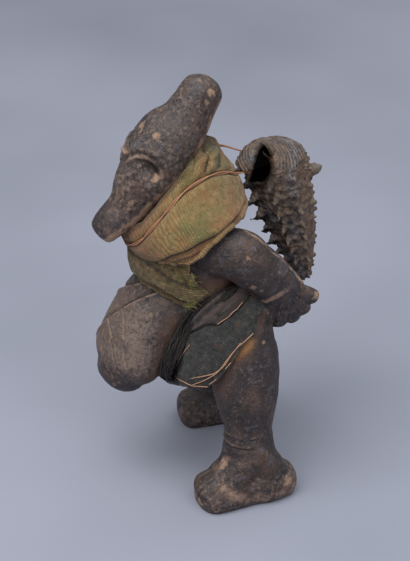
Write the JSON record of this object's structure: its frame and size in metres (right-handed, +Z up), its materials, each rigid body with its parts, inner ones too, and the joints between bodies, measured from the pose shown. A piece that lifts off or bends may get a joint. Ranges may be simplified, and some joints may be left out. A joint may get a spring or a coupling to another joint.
{
  "type": "figure",
  "caption": "Small fired-clay standing figure with a long-snouted animal head, wrapped cloths, fibre belt and a sea shell hung on its back.",
  "frame": {"origin": "centre of the bounding box at the height of the soles, on the surface the figure stands on", "axes": "+Z up; the figure faces -Y, its left side is +X"},
  "size_m": [0.0739, 0.0824, 0.1465],
  "materials": {
    "fired_clay": "dark patinated fired clay, satin, with worn tan edges and dust in the cuts",
    "olive_cloth": "coarse plain-woven olive cloth, faded and soiled",
    "brown_cloth": "the same kind of cloth, darker and frayed",
    "black_fibre": "twisted black hair-like fibre",
    "dark_cloth": "dark grey-green plain-woven cloth",
    "straw": "dry pale straw",
    "brown_cord": "thin two-ply plant-fibre cord",
    "sea_shell": "weathered brown-grey shell, dirty in the hollows"
  },
  "bodies": {
    "root": {"terracotta_figure": "fired_clay", "neck_cloth": "olive_cloth", "chest_band": "brown_cloth", "fibre_belt": "black_fibre", "loincloth": "dark_cloth", "straw_tie": "straw", "hanging_cord": "brown_cord", "shell": "sea_shell"}
  },
  "joints": []
}
